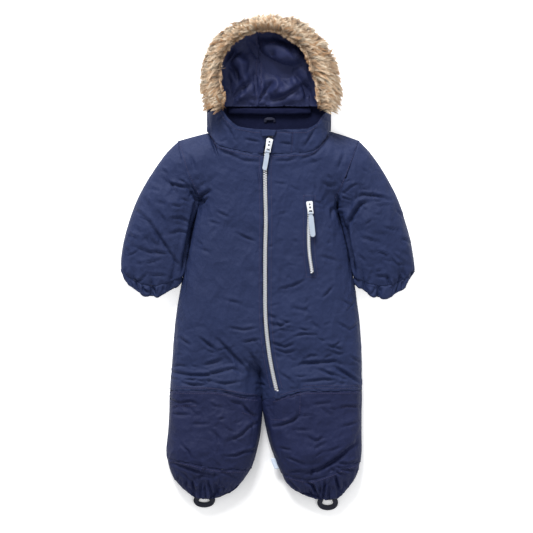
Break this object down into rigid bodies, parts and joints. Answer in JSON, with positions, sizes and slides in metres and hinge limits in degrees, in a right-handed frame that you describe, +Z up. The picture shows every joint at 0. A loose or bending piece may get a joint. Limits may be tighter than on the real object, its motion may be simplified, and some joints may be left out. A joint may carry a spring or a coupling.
{
  "type": "baby snowsuit",
  "caption": "Padded one-piece snowsuit for a baby, laid flat on its back with the zip closed and the fur-edged hood open.",
  "frame": {"origin": "middle of the outline seen from above, on the surface that the back lies on", "axes": "+Y to the hood, +Z up from the surface through the front, +X to the wearer's left"},
  "size_m": [0.4726, 0.7956, 0.07],
  "materials": {
    "shell": "matt woven nylon, padded",
    "panel": "matt woven nylon, reinforced",
    "lining": "satin taffeta",
    "fur": "imitation fur",
    "tape": "woven zip tape",
    "zip": "white coated",
    "pull": "satin",
    "elastic": "ribbed elastic",
    "label": "blank woven tab"
  },
  "bodies": {
    "garment": {"front_right": "shell", "front_left": "shell", "knee_right": "panel", "knee_left": "panel", "back": "shell", "sleeve_right": "shell", "cuff_right": "shell", "sleeve_left": "shell", "cuff_left": "shell", "ankle_right": "panel", "ankle_left": "panel", "collar_right": "shell", "collar_left": "shell", "collar_back": "lining", "hood_right": "shell", "hood_left": "shell", "hood_lining_right": "lining", "hood_lining_left": "lining", "fur_trim": "fur", "zip_tape": "tape", "zip_chain": "zip", "zip_garage": "shell", "pocket_tape": "shell", "pocket_chain": "zip", "zip_slider": "zip", "pocket_slider": "zip", "stirrup_right": "elastic", "stirrup_left": "elastic", "hanger_loop": "elastic", "seam_tab": "label"},
    "main_pull": {"zip_pull": "pull"},
    "pocket_pull_tab": {"pocket_pull": "pull"}
  },
  "joints": [
    {"name": "zip_pull_hinge", "type": "hinge", "parent": "garment", "child": "main_pull", "pos_m": [0.00008, 0.17711, 0.05084], "axis": [-0.9848, 0.1736, 0], "range_deg": [0, 140]},
    {"name": "pocket_pull_hinge", "type": "hinge", "parent": "garment", "child": "pocket_pull_tab", "pos_m": [0.06844, 0.07899, 0.05307], "axis": [-0.9945, -0.1045, 0], "range_deg": [0, 140]}
  ]
}
